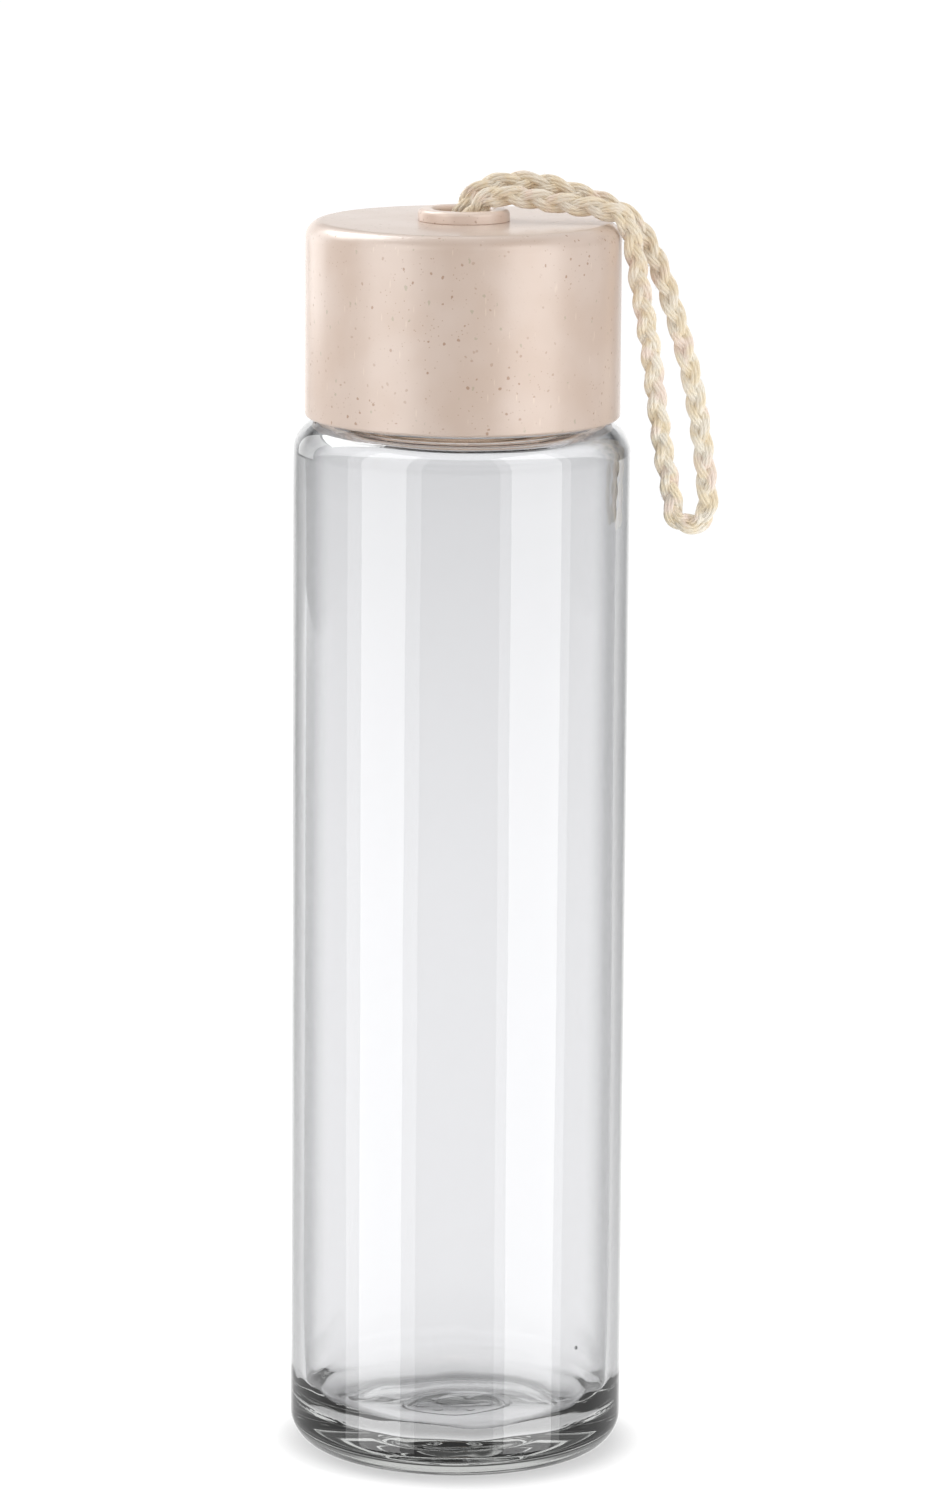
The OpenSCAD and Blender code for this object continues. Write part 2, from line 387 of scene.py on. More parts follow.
@dataclass(frozen=True)
class ClearGlass:
    """Clear blown soda glass, with the slight waves of its mould."""

    tint: Colour = (0.818, 0.819, 0.830, 1)
    edge_painted_shade: Colour = (0.30, 0.305, 0.31, 1)
    inside: Colour = (0.10, 0.12, 0.07, 1)
    density: float = 13.0
    edge_from: float = 0.46
    edge_to: float = 0.74
    refraction: float = 1.5
    wave_mm: float = 16

    def material(self) -> Material:
        """Builds the material."""
        paint = Paint("clear_glass")
        facing = paint.wire("ShaderNodeLayerWeight", {}, {"Blend": 0.5}, "Facing")
        # Painted shade: the glass's colour darkens towards its edges, where the surface turns away from view.
        paint.set(Base_Color=paint.mix(facing.rises(self.edge_from, self.edge_to), self.tint, self.edge_painted_shade))
        paint.set(IOR=self.refraction, Transmission_Weight=1.0, Roughness=0.0)
        paint.absorb(self.inside, self.density)
        waves = paint.grain(self.wave_mm, 1, paint.placed((1, 1, 0.4)))
        paint.bump(waves, 0.05)
        return paint.material


@dataclass(frozen=True)
class StrawComposite:
    """Moulded plastic filled with ground straw: satin, warm, with dark and pale specks."""

    name: str
    base: Colour = (0.530, 0.410, 0.336, 1)
    pale: Colour = (0.570, 0.458, 0.390, 1)
    bran: Colour = (0.300, 0.165, 0.095, 1)
    husk: Colour = (0.330, 0.300, 0.200, 1)
    fibre: Colour = (0.800, 0.690, 0.560, 1)
    roughness: float = 0.34

    def material(self) -> Material:
        """Builds the material."""
        paint = Paint(self.name)
        cloudy = paint.grain(11, 2).rises(0.3, 0.7)
        colour = paint.mix(cloudy, self.base, self.pale)
        colour = paint.mix(self.fibres(paint) * 0.25, colour, self.fibre)
        crowd = paint.grain(14, 1).rises(0.38, 0.62)
        husks = self.specks(paint, 2.7, 0.10, (1, 1, 0.7), 0.30)
        colour = paint.mix(husks * 0.55, colour, self.husk)
        bran = self.specks(paint, 1.8, 0.15, (1, 1, 1), 0.35)
        colour = paint.mix(bran * (crowd * 0.4 + 0.35), colour, self.bran)
        dust = self.specks(paint, 0.8, 0.17, (1, 1, 1), 0.5)
        colour = paint.mix(dust * (crowd * 0.35 + 0.1), colour, self.bran)
        satin = paint.grain(0.5, 3)
        paint.set(Base_Color=colour, Roughness=self.roughness + satin * 0.10, IOR=1.5)
        paint.set(Coat_Weight=0.45, Coat_Roughness=0.20)
        paint.bump(satin * 0.5 + paint.grain(3.5, 2) * 0.8, 0.03)
        return paint.material

    def specks(self, paint: Paint, cell_mm: float, size: float, stretch_by: Sequence[float],
               share: float) -> Wire:
        """Returns 1 inside scattered specks.

        Args:
            paint: The material.
            cell_mm: Mean distance between the places where a speck may lie.
            size: Radius of a speck as a share of that distance.
            stretch_by: Scale along X, Y and Z, less than 1 for longer specks.
            share: Share of the places that stay empty.

        Returns:
            A mask from 0 to 1.
        """
        where = paint.placed(stretch_by, (0.4, 0.3, cell_mm))
        bend = paint.node("ShaderNodeTexNoise", None, {"Vector": paint.here, "Scale": 1500, "Detail": 1})
        shift = paint.node("ShaderNodeVectorMath", {"operation": "SCALE"},
                           {0: bend.outputs["Color"], "Scale": 0.25 * cell_mm * MM}).outputs[0]
        moved = paint.node("ShaderNodeVectorMath", {"operation": "ADD"}, {0: where, 1: shift}).outputs[0]
        cells = paint.node("ShaderNodeTexVoronoi", {"feature": "F1"},
                           {"Vector": moved, "Scale": 1 / (cell_mm * MM)})
        inside = Wire(paint, cells.outputs["Distance"]).rises(size * 1.25, size * 0.75)
        chance = paint.wire("ShaderNodeSeparateColor", {}, {"Color": cells.outputs["Color"]}, "Red")
        return inside * chance.rises(share, share + 0.02)

    def fibres(self, paint: Paint) -> Wire:
        """Returns 1 along short straws that lie in all directions."""
        total = None
        for turn in ((0.2, 0, 0.5), (1.1, 0.4, 2.0), (0.5, 1.3, 1.2)):
            where = paint.placed((1, 1, 0.16), turn)
            cells = paint.node("ShaderNodeTexVoronoi", {"feature": "F1"},
                               {"Vector": where, "Scale": 1 / (1.6 * MM)})
            line = Wire(paint, cells.outputs["Distance"]).rises(0.11, 0.03)
            total = line if total is None else total + line
        return total.rises(0, 1)


@dataclass(frozen=True)
class MouldedPlastic:
    """Plain injection-moulded plastic, with the soft ripple of its mould."""

    name: str
    base: Colour = (0.80, 0.70, 0.60, 1)
    glow: Colour = (0.46, 0.34, 0.26, 1)
    roughness: float = 0.38

    def material(self) -> Material:
        """Builds the material, with a faint glow for the light that reaches it through the neck."""
        paint = Paint(self.name)
        ripple = paint.grain(4, 3)
        darker = tuple(0.93 * c for c in self.base[:3]) + (1,)
        paint.set(Base_Color=paint.mix(ripple, darker, self.base), Roughness=self.roughness + ripple * 0.12)
        paint.set(Emission_Color=self.glow, Emission_Strength=1.0)
        paint.bump(paint.grain(1.2, 2), 0.015)
        return paint.material


@dataclass(frozen=True)
class MilkySilicone:
    """Translucent white silicone rubber."""

    base: Colour = (0.82, 0.82, 0.79, 1)

    def material(self) -> Material:
        """Builds the material."""
        paint = Paint("milky_silicone")
        bloom = paint.grain(2.5, 3)
        paint.set(Base_Color=paint.mix(bloom, self.base, (0.88, 0.88, 0.86, 1)), Roughness=0.42 + bloom * 0.15)
        paint.set(Subsurface_Weight=0.3, Subsurface_Scale=1.5 * MM)
        paint.bump(bloom, 0.02)
        return paint.material


@dataclass(frozen=True)
class CottonYarn:
    """Undyed cotton, spun and plaited, with fibres that lie along the yarn's twist."""

    name: str
    cream: Colour = (0.95, 0.89, 0.77, 1)
    straw: Colour = (0.91, 0.79, 0.58, 1)
    blush: Colour = (0.94, 0.80, 0.70, 1)
    painted_shade: Colour = (0.66, 0.50, 0.34, 1)
    near_cap_shade_z: Point = (0.206, 0.224)
    near_cap_shade_share: float = 0.26
    yarn_map: str = "yarn"

    def material(self) -> Material:
        """Builds the material."""
        paint = Paint(self.name)
        split = paint.node("ShaderNodeSeparateXYZ", None,
                           {"Vector": paint.node("ShaderNodeUVMap", {"uv_map": self.yarn_map}).outputs[0]})
        along, around = Wire(paint, split.outputs["X"]), Wire(paint, split.outputs["Y"])
        wander = paint.grain(0.9, 2) * 3.0
        fibres = (around * (5 * TURN) + along * (TURN / 1.1) + wander).wave() * 0.5 + 0.5
        fine = (around * (11 * TURN) + along * (TURN / 0.5) + wander * 1.7).wave() * 0.5 + 0.5
        lie = fibres * 0.6 + fine * 0.4
        patches = paint.grain(3.0, 2).rises(0.38, 0.62)
        colour = paint.mix(patches, self.cream, self.straw)
        colour = paint.mix(paint.grain(4.2, 1, paint.placed((1, 1.1, 0.9), (1, 2, 0))).rises(0.52, 0.7),
                           colour, self.blush)
        # Painted shade in the grooves between fibres, where the fibre wave is low.
        colour = paint.mix(lie.rises(0.5, 0.0) * 0.35, colour, self.painted_shade)
        # Painted shade: the cord is made darker towards its top, near the cap, by mixing in the shade colour.
        height = paint.wire("ShaderNodeSeparateXYZ", {}, {"Vector": paint.here}, "Z")
        colour = paint.mix(height.rises(*self.near_cap_shade_z) * self.near_cap_shade_share, colour, self.painted_shade)
        paint.set(Base_Color=colour, Roughness=0.82 + lie * 0.1)
        paint.set(Sheen_Weight=0.35, Sheen_Roughness=0.5)
        paint.bump(lie, 0.10)
        return paint.material


@dataclass(frozen=True)
class PaleFloor:
    """The studio's plain white floor."""

    base: Colour = (0.35, 0.35, 0.35, 1)
    glow: float = 1.0
    near: Colour = (0.86, 0.86, 0.86, 1)
    far: Colour = (0.67, 0.67, 0.67, 1)
    under: Colour = (0.50, 0.50, 0.50, 1)
    punt_painted_light: Colour = (0.90, 0.90, 0.90, 1)

    def material(self) -> Material:
        """Builds the material, which glows as a lit table does, with a painted contact shadow under the bottle,
        painted light under the punt and a painted falloff of light far off.
        """
        paint = Paint("pale_floor")
        away = paint.wire("ShaderNodeVectorMath", {"operation": "LENGTH"}, {0: paint.here}, "Value")
        # Painted falloff of light: the floor glows brighter near the bottle and dimmer far off.
        glow = paint.mix(away.rises(0.45, 1.25), self.near, self.far)
        # Painted contact shadow: the glow drops under the bottle's heel and just round its foot.
        glow = paint.mix(away.rises(0.029, 0.039), self.under, glow)
        # Painted light under the punt, where light would pass through the clear base.
        glow = paint.mix(away.rises(0.027, 0.016), glow, self.punt_painted_light)
        paint.set(Base_Color=self.base, Roughness=0.7 + paint.grain(40, 2) * 0.05, Specular_IOR_Level=0.0)
        paint.set(Emission_Color=glow, Emission_Strength=self.glow)
        return paint.material


class Show(Enum):
    """Which surfaces a light falls on."""

    GLOSS = "gloss"
    MATT = "matt"


@dataclass
class Softbox:
    """One rectangular light that looks at the bottle.

    Azimuth 0 is where the camera stands, and it grows to the right. Most of them only show as
    reflections, so that the floor stays evenly lit.
    """

    name: str
    azimuth: float
    distance: float
    height: float
    size: tuple[float, float]
    radiance: float
    show: Show = Show.GLOSS
    aim_z: float = 0.2

    def build(self) -> None:
        """Makes the light."""
        lamp = bpy.data.lights.new(self.name, "AREA")
        lamp.shape = "RECTANGLE"
        lamp.size, lamp.size_y = self.size
        lamp.energy = self.radiance * self.size[0] * self.size[1] * math.pi
        light = bpy.data.objects.new(self.name, lamp)
        turn = math.radians(self.azimuth)
        light.location = (self.distance * math.sin(turn), -self.distance * math.cos(turn), self.height)
        aim = Vector((0, 0, self.aim_z)) - light.location
        light.rotation_euler = aim.to_track_quat("-Z", "Y").to_euler()
        light.visible_camera = False
        light.visible_diffuse = self.show is Show.MATT
        light.visible_glossy = self.show is Show.GLOSS
        light.visible_transmission = False
        bpy.context.scene.collection.objects.link(light)


@dataclass
class Studio:
    """Camera, floor and lights."""

    eye: tuple[float, float, float] = (0.00048, -1.2438, 0.3667)
    look_down: float = 10.70
    lean: float = 0.44
    lens: float = 164.2
    film: float = 36.0
    softboxes: list[Softbox] = field(default_factory=lambda: [
        Softbox("left_softbox", -54, 0.95, 0.30, (0.58, 1.8), 2.4),
        Softbox("left_flank", -55, 1.00, 0.30, (1.08, 1.8), 1.3),
        Softbox("right_softbox", 52, 0.95, 0.30, (0.66, 1.8), 2.4),
        Softbox("right_flank", 52, 1.00, 0.30, (1.02, 1.8), 1.3),
        Softbox("rim_panel", -130, 0.70, 0.92, (0.60, 0.60), 7.0),
        Softbox("left_edge", -133, 0.70, 0.32, (0.34, 0.44), 1.9),
        Softbox("left_fill", -122, 0.80, 0.25, (0.5, 0.8), 4.0, Show.MATT),
        Softbox("right_fill", 75, 0.80, 0.25, (0.5, 0.8), 1.2, Show.MATT),
    ])
    key_from: tuple[float, float, float] = (-0.12, 0.28, 0.95)
    key_strength: float = 0.6
    key_angle: float = 60
    fill: float = 0.9
    backdrop: float = 1.35
    backdrop_high: Point = (0.24, 0.19)
    backdrop_wide: Point = (0.86, 0.96)
    mirrored: tuple[Point, ...] = (
        (-0.30, 0.80), (-0.24, 0.55), (-0.18, 0.16), (-0.10, 0.45), (0.16, 0.45),
        (0.24, 0.10), (0.36, 0.10), (0.44, 0.80), (0.80, 0.85), (0.92, 0.15))

    def room(self) -> None:
        """Sets up all but the camera."""
        self.floor()
        for light in self.softboxes:
            light.build()
        self.key()
        self.world()
        bpy.context.scene.view_settings.view_transform = "Standard"

    def camera(self) -> None:
        """Puts the camera where the photograph was taken from."""
        data = bpy.data.cameras.new("camera")
        data.sensor_fit = "VERTICAL"
        data.sensor_height = self.film
        data.lens = self.lens
        data.clip_end = 100
        camera = bpy.data.objects.new("camera", data)
        camera.matrix_world = (
            Matrix.Translation(self.eye)
            @ Matrix.Rotation(math.radians(90 - self.look_down), 4, "X")
            @ Matrix.Rotation(math.radians(self.lean), 4, "Z")
        )
        bpy.context.scene.collection.objects.link(camera)
        bpy.context.scene.camera = camera

    def floor(self) -> None:
        """Lays the floor, which the glass doesn't mirror."""
        shape = bmesh.new()
        bmesh.ops.create_grid(shape, x_segments=8, y_segments=8, size=12)
        ground = as_object("floor", shape)
        ground.data.materials.append(PaleFloor().material())
        ground.visible_glossy = False

    def key(self) -> None:
        """Lights the floor and the cap's top evenly, from the upper left and a little behind."""
        lamp = bpy.data.lights.new("key_panel", "SUN")
        lamp.energy = self.key_strength
        lamp.angle = math.radians(self.key_angle)
        light = bpy.data.objects.new("key_panel", lamp)
        light.rotation_euler = (-Vector(self.key_from)).to_track_quat("-Z", "Y").to_euler()
        bpy.context.scene.collection.objects.link(light)

    def world(self) -> None:
        """Makes the room: white to the camera, a pale fill, and dimmer where glass or gloss mirrors it."""
        world = bpy.data.worlds.new("studio")
        world.use_nodes = True
        tree = world.node_tree
        tree.nodes.clear()
        path = tree.nodes.new("ShaderNodeLightPath")
        rooms = []
        for level in (1.0, self.fill, 1.0):
            room = tree.nodes.new("ShaderNodeBackground")
            room.inputs["Strength"].default_value = level
            room.inputs["Color"].default_value = (1, 1, 1, 1)
            rooms.append(room)
        tree.links.new(self.mirror_ramp(tree), rooms[0].inputs["Color"])
        seen = rooms[0].outputs[0]
        for ray, room in zip(("Diffuse Depth", "Is Camera Ray"), rooms[1:]):
            mix = tree.nodes.new("ShaderNodeMixShader")
            tree.links.new(path.outputs[ray], mix.inputs[0])
            tree.links.new(seen, mix.inputs[1])
            tree.links.new(room.outputs[0], mix.inputs[2])
            seen = mix.outputs[0]
        output = tree.nodes.new("ShaderNodeOutputWorld")
        tree.links.new(seen, output.inputs["Surface"])
        bpy.context.scene.world = world

    def mirror_ramp(self, tree: bpy.types.NodeTree) -> bpy.types.NodeSocket:
        """Returns the grey of the mirrored room: a white backdrop, dim walls, pale floor and ceiling."""
        where = tree.nodes.new("ShaderNodeTexCoord").outputs["Generated"]
        split = tree.nodes.new("ShaderNodeSeparateXYZ")
        tree.links.new(where, split.inputs[0])
        height = tree.nodes.new("ShaderNodeMapRange")
        height.inputs["From Min"].default_value = -1
        tree.links.new(split.outputs["Z"], height.inputs["Value"])
        ramp = tree.nodes.new("ShaderNodeValToRGB")
        stops = ramp.color_ramp.elements
        while len(stops) < len(self.mirrored):
            stops.new(1.0)
        for stop, (z, grey) in zip(stops, self.mirrored):
            stop.position = (z + 1) / 2
            stop.color = (grey, grey, grey, 1)
        tree.links.new(height.outputs[0], ramp.inputs[0])
        white = (self.backdrop, self.backdrop, self.backdrop, 1)
        low = self.mixed(tree, self.share(tree, split.outputs["Z"], self.backdrop_high), ramp.outputs[0], white)
        behind = self.share(tree, split.outputs["Y"], self.backdrop_wide)
        return self.mixed(tree, behind, ramp.outputs[0], low)

    def share(self, tree: bpy.types.NodeTree, value: bpy.types.NodeSocket, ends: Point) -> bpy.types.NodeSocket:
        """Returns a smooth rise of a value from 0 at the first end to 1 at the second."""
        made = tree.nodes.new("ShaderNodeMapRange")
        made.interpolation_type = "SMOOTHSTEP"
        made.inputs["From Min"].default_value, made.inputs["From Max"].default_value = ends
        tree.links.new(value, made.inputs["Value"])
        return made.outputs[0]

    def mixed(self, tree: bpy.types.NodeTree, share: bpy.types.NodeSocket, low: bpy.types.NodeSocket,
              high: bpy.types.NodeSocket | Sequence[float]) -> bpy.types.NodeSocket:
        """Mixes two greys by a share from 0 to 1."""
        made = tree.nodes.new("ShaderNodeMix")
        made.data_type = "RGBA"
        tree.links.new(share, made.inputs[0])
        tree.links.new(low, made.inputs[6])
        if isinstance(high, bpy.types.NodeSocket):
            tree.links.new(high, made.inputs[7])
        else:
            made.inputs[7].default_value = high
        return made.outputs[2]


@dataclass
class GlassBottle:
    """The blown body: heel, push-up, shoulder, neck with its bead and thread, and a seed in the wall."""

    side: float = 2.4
    heel: float = 6.0
    shoulder: float = 5.5
    shoulder_under: float = 2.0
    shoulder_hollow: float = 4.3
    floor: float = 6.4
    heel_hollow: float = 8.0
    floor_rise: float = 1.2
    punt_r: float = 21.0
    punt_rise: float = 3.0
    punt_round: float = 8.0
    neck_r: float = 23.0
    neck_high: float = 14.6
    neck_wall: float = 2.6
    fillet: float = 1.2
    flare: float = 2.2
    lip: float = 0.9
    bead: float = 1.2
    bead_up: float = 3.4
    thread_from: float = 198.4
    thread_to: float = 206.8
    steps: int = 360
    knurls: int = 60
    seed_place: tuple[float, float, float] = (21.85, -20.13, 23.2)
    seed_r: float = 0.36

    def build(self) -> Piece:
        """Makes the whole glass."""
        low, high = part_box("glass_bottle")
        self.outer_r = high.x / MM
        self.lip_z = high.z / MM
        self.top = self.lip_z - self.neck_high
        shape = lathe(self.outside() + self.inside(), self.steps)
        self.raise_thread(shape)
        self.press_base(shape)
        self.blow_inside(shape)
        seed = bmesh.new()
        bmesh.ops.create_icosphere(seed, subdivisions=3, radius=self.seed_r * MM,
                                   matrix=Matrix.Translation(Vector(self.seed_place) * MM))
        bmesh.ops.reverse_faces(seed, faces=seed.faces)
        glass = as_object("blown_glass", joined([shape, seed]), 60)
        return finished(glass, Body.BOTTLE, Slot.GLASS, ClearGlass().material(), "glass_bottle")

    def outside(self) -> list[Point]:
        """Outline from the axis under the base up to the lip."""
        r, top, neck = self.outer_r, self.top, self.neck_r
        slope = 2 * math.degrees(math.atan(self.punt_rise / self.punt_r))
        foot = self.punt_r + self.punt_round * math.tan(math.radians(slope / 2))
        edge = arc((foot, self.punt_round), self.punt_round, -90 - slope, -90, 6)
        return [
            *(p for p in dome(self.punt_r, 0, self.punt_rise, 38) if p[0] < edge[0][0] - 0.1),
            *edge,
            *stretch((foot, 0), (r - self.heel, 0), 8),
            *arc((r - self.heel, self.heel), self.heel, -90, 0, 18),
            *arc((r - self.shoulder, top - self.shoulder), self.shoulder, 0, 90, 18),
            *arc((neck + self.fillet, top + self.fillet), self.fillet, -90, -180, 8),
            *arc((neck, top + self.bead_up), self.bead, -90, 90, 14),
            (neck, self.thread_from),
            *stretch((neck, self.thread_from), (neck, self.thread_to), 36),
            *arc((neck - self.lip, self.lip_z - self.lip), self.lip, 0, 90, 8),
        ]

    def inside(self) -> list[Point]:
        """Outline from the lip down to the axis over the floor."""
        wall = self.outer_r - self.side
        bore = self.neck_r - self.neck_wall
        under = self.top - self.shoulder_under
        corner = wall - self.heel_hollow
        return [
            *arc((bore + self.lip, self.lip_z - self.lip), self.lip, 90, 180, 8),
            *arc((bore + self.flare, under + self.flare), self.flare, 180, 270, 10),
            *arc((wall - self.shoulder_hollow, under - self.shoulder_hollow), self.shoulder_hollow, 90, 0, 14),
            *stretch((wall, under - self.shoulder_hollow), (wall, self.floor + self.heel_hollow), 26),
            *arc((corner, self.floor + self.heel_hollow), self.heel_hollow, 0, -90, 22),
            *list(reversed(dome(corner - 0.01, self.floor, self.floor_rise, 24))),
        ]

    def raise_thread(self, shape: Shape) -> None:
        """Lifts the two ridges of the thread out of the neck."""
        for vert in shape.verts:
            z = vert.co.z / MM
            r = math.hypot(vert.co.x, vert.co.y) / MM
            if self.thread_from - 0.1 < z < self.thread_to + 0.1 and r > self.neck_r - 0.1:
                lift = NECK_THREAD.height_at(math.atan2(vert.co.y, vert.co.x), z)
                grow = (r + lift) / r
                vert.co.x *= grow
                vert.co.y *= grow

    def press_base(self, shape: Shape) -> None:
        """Presses the mould's marks into the base: knurls on the standing ring, a ring and dots inside."""
        ring_r, ring_high, dot_r, dot_size, dots = 9.0, 0.35, 5.2, 1.1, 6
        middle = (self.punt_r + self.outer_r - self.heel) / 2
        for vert in shape.verts:
            z, r = vert.co.z / MM, math.hypot(vert.co.x, vert.co.y) / MM
            turn = math.atan2(vert.co.y, vert.co.x)
            if z < 0.01 and self.punt_r + 0.9 < r < self.outer_r - self.heel + 0.1:
                across = smoothstep(1 - abs(r - middle) / 1.6)
                vert.co.z += 0.10 * MM * across * (0.5 + 0.5 * math.cos(turn * self.knurls))
            elif z < self.punt_rise + 0.1 and r < self.punt_r - 1:
                lift = ring_high * smoothstep(1 - abs(r - ring_r) / 0.9)
                for i in range(dots):
                    a = TURN * i / dots
                    away = math.hypot(vert.co.x / MM - dot_r * math.cos(a), vert.co.y / MM - dot_r * math.sin(a))
                    lift = max(lift, 0.45 * smoothstep(1 - away / dot_size))
                vert.co.z -= lift * MM

    def blow_inside(self, shape: Shape) -> None:
        """Lets the inner surface wander a little, as blown glass does, most of all at the heel."""
        wall = self.outer_r - self.side
        for vert in shape.verts:
            z, r = vert.co.z / MM, math.hypot(vert.co.x, vert.co.y) / MM
            inner = 5 < z < self.top - self.shoulder_under and r < wall + 0.05
            if not inner:
                continue
            low = smoothstep((26 - z) / 14)
            slow = noise.noise(Vector((vert.co.x * 55, vert.co.y * 55, z * 0.012)))
            quick = noise.noise(Vector((vert.co.x * 150 + 7, vert.co.y * 150, z * 0.15)))
            shift = (0.10 + 0.28 * low) * slow + 0.22 * low * quick
            if r > wall - 1:
                grow = (r + shift) / r
                vert.co.x *= grow
                vert.co.y *= grow
            else:
                vert.co.z += shift * MM * smoothstep(r / 4)


@dataclass(frozen=True)
class Thread:
    """A right-hand thread of two ridges on a cylinder."""

    z: float
    lead: float
    span: float
    high: float
    half_foot: float
    half_crest: float
    fade: float
    phase: float = 0
    starts: int = 2

    def height_at(self, turn: float, z: float) -> float:
        """How far the ridges stand out at an angle in radians and a height in millimetres."""
        best = 0.0
        for start in range(self.starts):
            for wrap in range(3):
                gone = (turn - self.phase - TURN * start / self.starts) % TURN + wrap * TURN
                if gone > self.span:
                    continue
                off = abs(z - self.z - self.lead * gone / TURN)
                rise = smoothstep((self.half_foot - off) / (self.half_foot - self.half_crest))
                ends = smoothstep(gone / self.fade) * smoothstep((self.span - gone) / self.fade)
                best = max(best, self.high * rise * ends)
        return best

    def ridge(self, start: int, root_r: float, sink: float, steps: int) -> Shape:
        """One ridge as a swept bar that stands inwards from a sleeve.

        Args:
            start: Which of the starts.
            root_r: Radius of the sleeve's wall.
            sink: How deep the bar's foot lies in the wall.
            steps: Number of stretches along it.

        Returns:
            The bar.
        """
        rings = []
        for i in range(steps + 1):
            gone = self.span * i / steps
            ends = smoothstep(gone / self.fade) * smoothstep((self.span - gone) / self.fade)
            turn = self.phase + TURN * start / self.starts + gone
            z = self.z + self.lead * gone / TURN
            deep = root_r - self.high * max(ends, 0.02)
            foot, crest = self.half_foot * (0.4 + 0.6 * ends), self.half_crest * (0.3 + 0.7 * ends)
            corners = [(root_r + sink, z - foot), (root_r, z - foot), (deep + 0.15 * ends, z - crest - 0.06),
                       (deep, z - crest * 0.5), (deep, z + crest * 0.5), (deep + 0.15 * ends, z + crest + 0.06),
                       (root_r, z + foot), (root_r + sink, z + foot)]
            rings.append([Vector((r * math.cos(turn), r * math.sin(turn), h)) * MM for r, h in corners])
        return sweep(rings)


THREAD_LEAD = 6.0
NECK_THREAD = Thread(z=199.4, lead=THREAD_LEAD, span=TURN * 1.05, high=1.3, half_foot=0.85,
                     half_crest=0.3, fade=0.35)
CAP_THREAD = Thread(z=197.9, lead=THREAD_LEAD, span=TURN * 0.62, high=1.75, half_foot=0.6,
                    half_crest=0.22, fade=0.3)


@dataclass
class ScrewCap:
    """The cap: composite shell, threaded sleeve and gasket."""

    round_top: float = 3.2
    round_rim: float = 0.7
    wall: float = 2.2
    top: float = 2.4
    hollow_round: float = 1.6
    hole_r: float = 6.8
    boss_r: float = 9.5
    boss_wall: float = 1.4
    boss_gap: float = 0.2
    keys: int = 12
    key_half: float = 1.1
    key_reach: float = 0.9
    sleeve_wall: float = 1.4
    steps: int = 264

    def build(self) -> None:
        """Makes the shell and the sleeve's thread, and dresses the sleeve and the gasket."""
        low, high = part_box("cap_shell")
        sleeve_low, sleeve_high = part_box("cap_liner")
        self.r, self.z, self.rise = high.x / MM, low.z / MM, high.z / MM
        self.sleeve_top = sleeve_high.z / MM
        shell = as_object("composite_shell", lathe(self.outline(), self.steps))
        cut(shell, joined(self.key_slots()))
        finished(shell, Body.CAP, Slot.CAP, StrawComposite("straw_composite").material(), "cap_shell")
        plastic = MouldedPlastic("sleeve_plastic").material()
        dress("cap_liner", plastic)
        self.thread(plastic)
        dress("sealing_gasket", MilkySilicone().material())

    def outline(self) -> list[Point]:
        """Outline of the shell, from the inside of its rim round to the inside of its top."""
        inner = self.r - self.wall
        ceiling = self.rise - self.top
        tube = self.boss_r + self.boss_wall
        tube_z = self.sleeve_top + self.boss_gap
        return [
            (inner, self.z + 0.15),
            (inner + 0.15, self.z),
            *arc((self.r - self.round_rim, self.z + self.round_rim), self.round_rim, -90, 0, 8),
            *arc((self.r - self.round_top, self.rise - self.round_top), self.round_top, 0, 90, 20),
            (self.hole_r, self.rise),
            (self.hole_r, ceiling),
            (self.boss_r, ceiling),
            (self.boss_r, tube_z),
            (tube, tube_z),
            (tube, ceiling),
            *arc((inner - self.hollow_round, ceiling - self.hollow_round), self.hollow_round, 90, 0, 8),
        ]

    def key_slots(self) -> list[Shape]:
        """The spaces in the shell that take the sleeve's keys."""
        inner = self.r - self.wall
        low = (inner - 0.3, -self.key_half, self.z - 1)
        high = (inner + self.key_reach, self.key_half, self.sleeve_top + 0.1)
        return [block(low, high, TURN * i / self.keys) for i in range(self.keys)]

    def thread(self, plastic: Material) -> None:
        """Makes the two ridges inside the sleeve."""
        root = self.r - self.wall - 0.1 - self.sleeve_wall
        ridges = [CAP_THREAD.ridge(start, root, 0.3, 90) for start in range(CAP_THREAD.starts)]
        finished(as_object("sleeve_thread", joined(ridges), 50), Body.CAP, Slot.LINER, plastic)


@dataclass
class CordBush:
    """The snap-in bush whose collar stands on the cap."""

    round_edge: float = 0.8
    bore_r: float = 5.5
    barrel_r: float = 6.7
    snap_r: float = 7.3
    snap_high: float = 0.8
    under_top: float = 2.5
    slots: int = 4
    slot_half: float = 0.6
    slot_up: float = 1.2
    steps: int = 168

    def build(self) -> None:
        """Makes the bush."""
        low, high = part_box("cord_bush")
        cap_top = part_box("cap_shell")[1].z / MM
        r, top, foot = high.x / MM, high.z / MM, low.z / MM
        snap_top = foot + self.snap_high
        edge = self.round_edge
        outline = [
            (self.bore_r, foot),
            (self.barrel_r, foot),
            (self.snap_r, snap_top - self.snap_high / 2),
            (self.snap_r, snap_top),
            (self.barrel_r, snap_top),
            (self.barrel_r, cap_top),
            (r - 0.1, cap_top),
            (r, cap_top + 0.1),
            *arc((r - edge, top - edge), edge, 0, 90, 12),
            *arc((self.bore_r + edge, top - edge), edge, 90, 180, 12),
        ]
        bush = as_object("collared_bush", lathe(outline, self.steps))
        slit_low = (self.bore_r - 2, -self.slot_half, foot - 1)
        slit_high = (self.snap_r + 1, self.slot_half, snap_top + self.slot_up)
        slits = [block(slit_low, slit_high, TURN * (i + 0.5) / self.slots) for i in range(self.slots)]
        cut(bush, joined(slits))
        # The cap's composite made lighter for the bush: painted light standing in for the highlight on the collar.
        finish = StrawComposite("bush_composite", (0.64, 0.49, 0.40, 1), (0.70, 0.57, 0.485, 1))
        finished(bush, Body.CAP, Slot.BUSH, finish.material(), "cord_bush")


